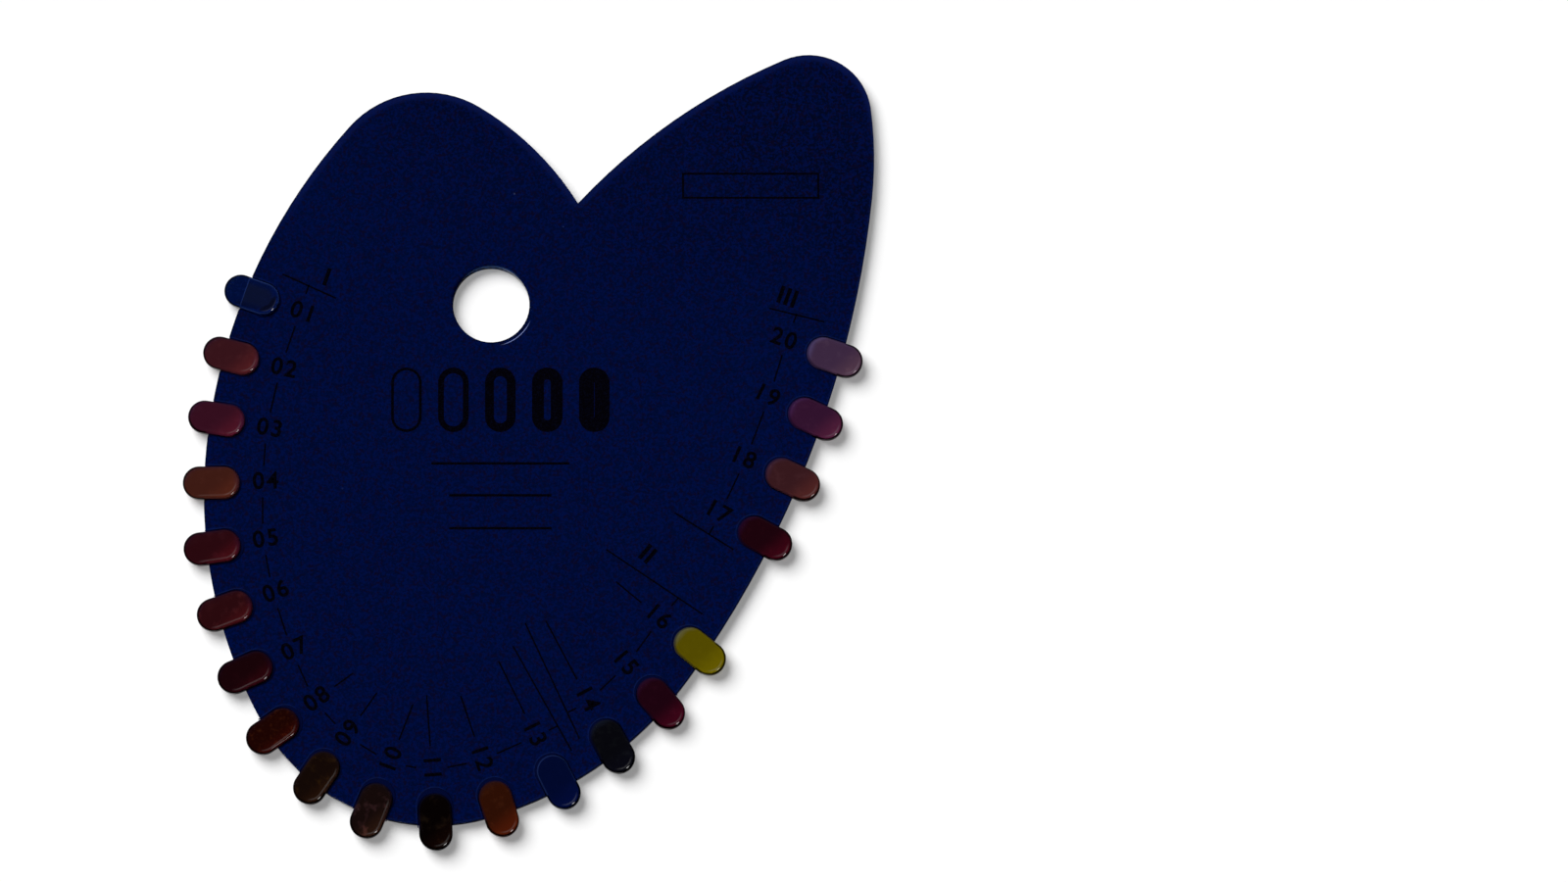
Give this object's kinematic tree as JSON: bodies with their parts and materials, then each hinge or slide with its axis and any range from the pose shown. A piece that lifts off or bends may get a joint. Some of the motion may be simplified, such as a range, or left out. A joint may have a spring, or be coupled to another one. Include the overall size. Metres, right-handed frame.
{
  "type": "dental shade guide",
  "caption": "Flat two-lobed navy acrylic plate with a hanging hole, and glazed ceramic shade samples bonded into pockets along its edge.",
  "frame": {"origin": "centre of the hanging hole, on the plate's back face", "axes": "+Z out of the printed face, +Y up the plate towards the lobes, +X to the right when the face is read"},
  "size_m": [0.1356, 0.1574, 0.004],
  "materials": {
    "navy_acrylic": "polished cast acrylic, navy",
    "clear_glaze": "glazed ceramic, clear glaze",
    "rose_brown": "glazed ceramic, rose brown",
    "plum": "glazed ceramic, plum",
    "brick": "glazed ceramic, brick",
    "wine": "glazed ceramic, wine",
    "veined_wine": "glazed ceramic, veined wine",
    "dark_maroon": "glazed ceramic, dark maroon",
    "speckled_maroon": "glazed ceramic, speckled maroon",
    "umber": "glazed ceramic, umber",
    "patched_umber": "glazed ceramic, patched umber",
    "near_black": "glazed ceramic, near black",
    "orange_brown": "glazed ceramic, orange brown",
    "deep_blue": "glazed ceramic, deep blue",
    "charcoal": "glazed ceramic, charcoal",
    "dark_red": "glazed ceramic, dark red",
    "mustard": "glazed ceramic, mustard",
    "dark_cherry": "glazed ceramic, dark cherry",
    "dusty_rose": "glazed ceramic, dusty rose",
    "violet": "glazed ceramic, violet",
    "pale_mauve": "glazed ceramic, pale mauve"
  },
  "bodies": {
    "root": {"backing_plate": "navy_acrylic", "sample_01": "clear_glaze", "sample_02": "rose_brown", "sample_03": "plum", "sample_04": "brick", "sample_05": "wine", "sample_06": "veined_wine", "sample_07": "dark_maroon", "sample_08": "speckled_maroon", "sample_09": "umber", "sample_10": "patched_umber", "sample_11": "near_black", "sample_12": "orange_brown", "sample_13": "deep_blue", "sample_14": "charcoal", "sample_15": "dark_red", "sample_16": "mustard", "sample_17": "dark_cherry", "sample_18": "dusty_rose", "sample_19": "violet", "sample_20": "pale_mauve"}
  },
  "joints": []
}
